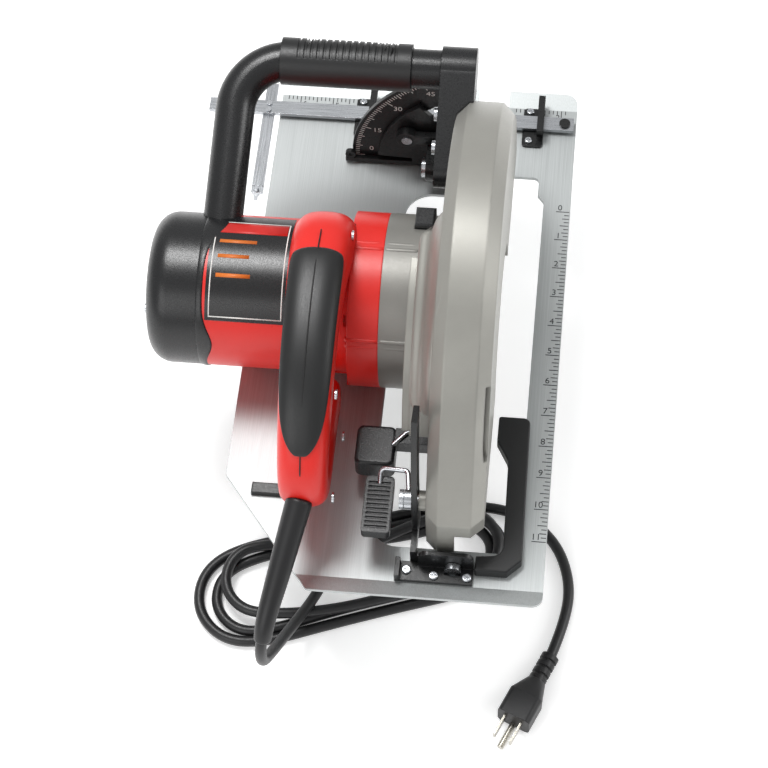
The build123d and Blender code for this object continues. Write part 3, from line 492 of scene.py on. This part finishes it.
degree_lines = []
for degree in range(61):
    angle = math.radians(180 - DEGREE_STEP * degree)
    reach = 7.0 if degree % 15 == 0 else 5.0 if degree % 5 == 0 else 3.0
    across_line = Vector((-math.sin(angle), 0, math.cos(angle)))
    out = Vector((math.cos(angle), 0, math.sin(angle)))
    inner, outer = out * (SCALE_R - reach), out * SCALE_R
    side = across_line * LINE_HALF
    corners = [Vector((0, 0, BEVEL_Z)) + c for c in (inner - side, inner + side, outer + side, outer - side)]
    if all(c.x < PRINT_RIGHT and c.z > PRINT_FOOT for c in corners):
        degree_lines.append([Vector((c.x, y, c.z)) for y in (QUADRANT_BACK + 0.1, QUADRANT_BACK - 0.1)
                             for c in corners])
finish_piece(prisms("angle_scale_lines", degree_lines), white_ink, "shoe", smooth=False)
angle_figures = []
for value, degree in ((0, 4), (15, 15), (30, 30), (45, 45)):
    angle = math.radians(180 - DEGREE_STEP * degree)
    spot = Vector((0, 0, BEVEL_Z)) + Vector((math.cos(angle), 0, math.sin(angle))) * FIGURE_R
    angle_figures.append((str(value), place_mm(spot.x, QUADRANT_BACK - 0.05, spot.z, turn_x=90), FIGURE_HIGH))
finish_piece(numerals("angle_scale_figures", angle_figures), white_ink, "shoe", smooth=False)


# Blade and drive: a carbide-tipped steel disc bolted to a ground spindle. A pinion on the motor's
# armature turns it; its windings and brushes are inside the housing.

# Ground blade steel: silvery, ringed by the grinding wheel.
blade_steel = brushed_metal("ground_blade_steel", "#b9bbbd", 0.3, 1.0, 1.0, "X", edge_mm=0.2)
coat(blade_steel, "saw_blade")
# Ground steel: bright, finely lined.
ground_steel = brushed_metal("ground_steel", "#aeb0b3", 0.25, 0.4, 4.0, "X", edge_mm=0.3)
coat(ground_steel, "spindle", "spindle_gear", "blade_bolt", "blade_flanges", "spindle_bearings",
     "motor_bearings")
# Enamelled copper and stacked iron: reddish brown, half gloss.
wound_copper = grained("enamelled_copper", "#9c5a34", 0.35, 0.8, 0.08, metallic=0.7, edge_mm=0.3)
coat(wound_copper, "armature", "stator")
# Pressed carbon: dark grey and matt.
pressed_carbon = grained("pressed_carbon", "#2a2a2c", 0.55, 0.5, 0.03)
coat(pressed_carbon, "carbon_brushes")


# Guards and gear case: cast magnesium, shot-blasted and coated matt silver-grey. The case is
# screwed to the housing; the lower guard is pressed steel and swings inside the upper one.

# Coated magnesium casting: even warm grey, soft sheen, blast grain of about half a millimetre.
cast_magnesium = grained("coated_magnesium_casting", "#979690", 0.38, 0.75, 0.07, metallic=0.45,
                         edge_mm=2.2, mottle=0.08)
coat(cast_magnesium, "upper_guard")
# The gear case: the same coating, a shade darker and duller.
case_casting = grained("magnesium_gear_case", "#8a8984", 0.4, 0.75, 0.08, metallic=0.35,
                       edge_mm=1.0, mottle=0.1)
coat(case_casting, "gear_case")
# Pressed guard steel: smooth, bright and half matt.
guard_steel = grained("bright_guard_steel", "#b4b4b2", 0.38, 0.8, 0.03, metallic=0.8, edge_mm=0.5,
                      mottle=0.08)
coat(guard_steel, "lower_guard")

# Depth scale: raised lines cast on the ledge beside the guard.
ARBOR_Z, MOTOR_Z = 35.0, 61.0
LEDGE_FOOT, LEDGE_TOP, LEDGE_LEFT = 113.9, 114.35, -35.4
CAST_HALF = 0.35
cast_lines = []
for k in range(29):
    angle = math.radians(95 + 2.0 * k)
    ledge_right = LEDGE_LEFT + (5.5 if k % 5 == 0 else 3.4)
    out = Vector((0, math.cos(angle), math.sin(angle)))
    side = Vector((0, -math.sin(angle), math.cos(angle)))
    centre = Vector((0, 0, ARBOR_Z))
    cast_lines.append([centre + out * lift + side * w + Vector((x, 0, 0)) for lift in (LEDGE_FOOT, LEDGE_TOP)
                       for x, w in ((LEDGE_LEFT, -CAST_HALF), (ledge_right, -CAST_HALF),
                                    (ledge_right, CAST_HALF), (LEDGE_LEFT, CAST_HALF))])
finish_piece(prisms("depth_scale_lines", cast_lines), case_casting, "saw", smooth=False)


# Motor housing: glass-filled nylon, moulded in red, with a black end cap screwed over its slotted
# end. The levers, switch and front handle are moulded in black nylon.

# Moulded red nylon: saturated, satin, with a fine spark-eroded grain.
red_nylon = grained("moulded_red_nylon", "#da2017", 0.34, 0.8, 0.05, edge_mm=1.6, mottle=0.06)
coat(red_nylon, "motor_housing")
# Moulded black nylon of the end cap and small levers.
black_nylon = grained("moulded_black_nylon", "#121315", 0.3, 0.9, 0.07, edge_mm=1.2)
coat(black_nylon, "end_cap", "trigger", "lock_button", "guard_lever", "lever_pad", "power_switch",
     "handle_arm", "front_handle")
# Soft overmoulded rubber: matt black, slightly dusty.
soft_rubber = grained("soft_overmoulded_rubber", "#111213", 0.4, 0.9, 0.06, edge_mm=0.8)
soft_rubber.node_tree.nodes["Principled BSDF"].inputs["Sheen Weight"].default_value = 0.03
coat(soft_rubber, "front_grip")


# Rating plate: a sheet of printed polyester film, glued to the barrel. Its print comes last.

# Polyester film: black, smooth and glossier than the housing.
label_film = grained("printed_polyester_film", "#141416", 0.28, 1.0, 0.005, edge_mm=0.1)
coat(label_film, "label_plate")


# Rear handle: two red nylon shells that meet on a centre seam, with a soft black pad on top.

HANDLE_X = -104.0
HANDLE_LINE = [  # y, z, half width, half height
    (22, 106, 22, 19), (10, 118, 22.5, 20), (-8, 128, 22, 20), (-30, 133.5, 20.5, 18.5),
    (-52, 133, 19.2, 17.5), (-75, 129, 18.8, 17), (-98, 121, 18.6, 16.8), (-120, 107, 18.2, 16.5),
    (-138, 90, 17.6, 16.2), (-151, 72, 17.2, 15.8), (-154, 56, 17, 15), (-144, 45, 16.8, 14),
    (-126, 41, 16.4, 13), (-104, 40, 16, 12.5), (-80, 38, 16, 12.5), (-56, 36, 16, 12.5)]


SQUARISH = 2.7  # how square the handle's section is; 2 is round
frames = []  # each station's centre, direction, half width and half height
for k, (y, z, w, h) in enumerate(HANDLE_LINE):
    before, after = HANDLE_LINE[max(0, k - 1)], HANDLE_LINE[min(len(HANDLE_LINE) - 1, k + 1)]
    direction = Vector((0, after[0] - before[0], after[1] - before[1])).normalized()
    frames.append((Vector((HANDLE_X, y, z)), direction, w, h))


def away(direction):
    """The direction out of the handle's loop, across its line."""
    return Vector((0, direction.z, -direction.y))


shell_rings = [ring_points(centre, direction, away(direction), w, h, SQUARISH)
               for centre, direction, w, h in frames]
finish_piece(skin("rear_handle_shell", shell_rings, 2), red_nylon, "saw",
             ("handle_left", "handle_right"))

PAD = [  # station, half angle of the cover in degrees, how far it stands out in mm
    (2.6, 46, 0.5), (2.85, 54, 1.6), (3.5, 57, 2.0), (4.5, 58, 2.1), (5.5, 58, 2.1), (6.3, 56, 2.1),
    (6.9, 51, 2.0), (7.4, 42, 1.9), (7.8, 28, 1.5), (8.1, 10, 0.4)]
PAD_SINK = 1.5  # the pad's underside lies this far inside the shell
pad_rings = []
for station, half_angle, proud in PAD:
    k = min(int(station), len(frames) - 2)
    t = station - k
    centre = frames[k][0].lerp(frames[k + 1][0], t)
    direction = frames[k][1].lerp(frames[k + 1][1], t).normalized()
    w = frames[k][2] * (1 - t) + frames[k + 1][2] * t
    h = frames[k][3] * (1 - t) + frames[k + 1][3] * t
    ring = []
    for stand, order in ((proud, range(-8, 9)), (-PAD_SINK, range(8, -9, -1))):
        for j in order:
            a = math.radians(half_angle * j / 8)
            c, n = math.cos(a), math.sin(a)
            u = math.copysign(abs(n) ** (2 / SQUARISH), n) * (w + stand)
            v = math.copysign(abs(c) ** (2 / SQUARISH), c) * (h + stand)
            ring.append(centre + Vector((u, 0, 0)) + away(direction) * v)
    pad_rings.append(ring)
finish_piece(skin("rear_grip_pad", pad_rings, 2), soft_rubber, "saw", ("grip_pad",))


# Seam: the fine parting line where the two handle shells and the pad's mould meet. Its last
# point is inside the handle, so the line sinks into the shell at its rear.

ON_PAD, ON_SHELL = 1.75, -0.1
seam_points = []
for k, (centre, direction, w, h) in enumerate(frames[2:11], start=2):
    outward = away(direction)
    outward = -outward if outward.z < 0 else outward
    seam_points.append(tuple(centre + outward * (h + (ON_PAD if 3 <= k <= 7 else ON_SHELL))))
seam = smooth_line("handle_seam", seam_points)
seam.data.bevel_depth = 0.45 * MM
# The same soft rubber as a raised bead along the line, fully matt; its darker colour is painted shade of the
# seam's groove.
seam_groove_shade_rubber = grained("seam_painted_groove_shade", "#0d0d0e", 0.6, 0.6, 0.01, edge_mm=0.1)
finish_piece(seam, seam_groove_shade_rubber, "saw")


# Guard fairing: the part of the guard's casting that carries the depth scale. It runs from the
# ledge beside the motor up to the guard's crest.

FAIRING = [  # angle round the arbor, x of the guard's wall, radius there
    (91, -10, 159.8), (94, -9.5, 159.9), (102, -10, 159.8), (110, -12, 159.4), (116, -15, 157.0),
    (122, -18, 153.5), (130, -19, 152.5), (138, -19.5, 150), (146, -20, 143), (152, -20, 130)]
fairing_rings = []
for angle, inner_x, inner_r in FAIRING:
    a = math.radians(angle)
    out = Vector((0, math.cos(a), math.sin(a)))
    section = [(-36, 112), (-36.4, 115), (-35.4, 117.6), (-31, 118.6), (-28, 121),
               (-25, 0.55 * inner_r + 0.45 * 121), (inner_x - 3.5, inner_r - 2.5), (inner_x, inner_r),
               (inner_x + 2, inner_r - 4), (-17, 140), (-19, 120), (-22, 112)]
    fairing_rings.append([Vector((x, 0, ARBOR_Z)) + out * min(r, inner_r) for x, r in section])
finish_piece(skin("guard_fairing", fairing_rings, 2), cast_magnesium, "saw")


# Ribs: ridges moulded along the housing's flange and cast on in line along the gear case. They
# stiffen the joint between the two.

def ridge(angle, x0, x1, r, high, wide):
    """A rounded bar along the motor axis, standing on a round body of radius r."""
    a = math.radians(angle)
    out, side = Vector((0, math.cos(a), math.sin(a))), Vector((0, -math.sin(a), math.cos(a)))
    rings = []
    for x, grow in ((x0, -1.2), (x0 + 0.8, -0.3), (x0 + 2.5, 0), (x1 - 2.5, 0), (x1 - 0.8, -0.3), (x1, -1.2)):
        centre = Vector((x, 0, MOTOR_Z)) + out * (r + (high + grow) / 2 - RIB_SINK)
        rings.append(ring_points(centre, Vector((1, 0, 0)), out, wide / 2 + grow / 2,
                                 (high + grow) / 2 + RIB_SINK, 3.2, 16))
    return rings


RIB_SINK = 1.5  # how far a rib's foot lies inside the body under it
FLANGE_R, RIB_WIDE = 61.2, 3.4
RIBS = ((83, 1.0), (88, 1.6), (150.5, 1.6), (155.5, 1.0))  # angle and height of each
for k, (angle, high) in enumerate(RIBS, start=1):
    for part, x0, x1, material, slot in (("flange", -85.5, -62.3, red_nylon, "red_nylon"),
                                         ("case", -61.8, -38, case_casting, "guard_magnesium")):
        rib = skin(f"{part}_ridge_{k}", ridge(angle, x0, x1, FLANGE_R, high, RIB_WIDE), 1)
        finish_piece(rib, material, "saw")


# End cap collar: the moulded edge of the end cap, in the same black nylon. It laps over the
# barrel, further at the top than at the back.

CAP_X, CAP_R, COLLAR_R, COLLAR_INNER = -190.0, 54.4, 54.9, 53.2
LAPS = ((14, 62, 20), (7, 168, 16), (6, 300, 60))  # how far, at which angle, how wide
COLLAR_STEPS = 48
collar_points, collar_faces = [], []
for i in range(COLLAR_STEPS):
    degrees = 30 + 360 / COLLAR_STEPS * i
    out = Vector((0, math.cos(math.radians(degrees)), math.sin(math.radians(degrees))))
    edge = CAP_X + 4 + sum(far * math.exp(-((degrees - middle) / wide) ** 2) for far, middle, wide in LAPS)
    section = [(CAP_X - 1, COLLAR_INNER), (CAP_X - 1, CAP_R), (CAP_X + 2.5, COLLAR_R), (edge - 0.8, COLLAR_R),
               (edge, CAP_R + 0.1), (edge, COLLAR_INNER)]
    collar_points += [(Vector((x, 0, MOTOR_Z)) + out * r) * MM for x, r in section]
    j = (i + 1) % COLLAR_STEPS
    for k in range(6):
        n = (k + 1) % 6
        collar_faces.append((i * 6 + k, j * 6 + k, j * 6 + n, i * 6 + n))
collar_mesh = bpy.data.meshes.new("end_cap_collar")
collar_mesh.from_pydata(collar_points, [], collar_faces)
collar = linked("end_cap_collar", collar_mesh)
collar_rounding = collar.modifiers.new("rounding", "SUBSURF")
collar_rounding.levels = collar_rounding.render_levels = 2
finish_piece(collar, black_nylon, "saw")


# Rating plate print: screen ink on the black film, a pale border, a red header and three blank
# orange fields.

def barrel_patch(name, fields, lift):
    """Thin curved patches on the barrel, each (x0, x1, angle0, angle1) in mm and degrees."""
    mesh = bpy.data.meshes.new(name)
    points, faces = [], []
    for x0, x1, a0, a1 in fields:
        steps = max(2, int(abs(a1 - a0) / 3) + 1)
        start = len(points)
        for k in range(steps + 1):
            a = math.radians(a0 + (a1 - a0) * k / steps)
            for r in (lift - PRINT_THICK, lift):
                points += [(x * MM, math.cos(a) * r * MM, (MOTOR_Z + math.sin(a) * r) * MM) for x in (x0, x1)]
        for k in range(steps):
            n = start + 4 * k
            for p, q in ((0, 1), (1, 3), (3, 2), (2, 0)):
                faces.append((n + p, n + q, n + 4 + q, n + 4 + p))
        faces += [(start, start + 2, start + 3, start + 1)]
        last = start + 4 * steps
        faces += [(last, last + 1, last + 3, last + 2)]
    mesh.from_pydata(points, [], faces)
    return linked(name, mesh)


PLATE_R, PRINT_THICK = 54.62, 0.15
LEFT, RIGHT, TOP, BOTTOM = -181.5, -130.0, 61.5, 143.5  # x in mm, then degrees round the barrel
border = [(LEFT, RIGHT, TOP, TOP + 0.9), (LEFT, RIGHT, BOTTOM - 0.9, BOTTOM),
          (LEFT, LEFT + 0.8, TOP, BOTTOM), (RIGHT - 0.8, RIGHT, TOP, BOTTOM)]
finish_piece(barrel_patch("plate_border", border, PLATE_R), white_ink, "saw")
# Coloured inks: half matt, thin and even.
red_ink = grained("red_screen_ink", "#c9251f", 0.45, 0.6, 0.01, edge_mm=0.05)
orange_ink = grained("orange_screen_ink", "#d9742a", 0.45, 0.6, 0.01, edge_mm=0.05)
finish_piece(barrel_patch("plate_header", [(LEFT + 1.2, RIGHT - 1.2, TOP + 1.4, TOP + 14)], PLATE_R),
             red_ink, "saw")
fields = [(LEFT + 4, LEFT + long, top, top + 3) for long, top in ((30, 82.5), (26, 95.5), (28, 110.5))]
finish_piece(barrel_patch("plate_fields", fields, PLATE_R), orange_ink, "saw")
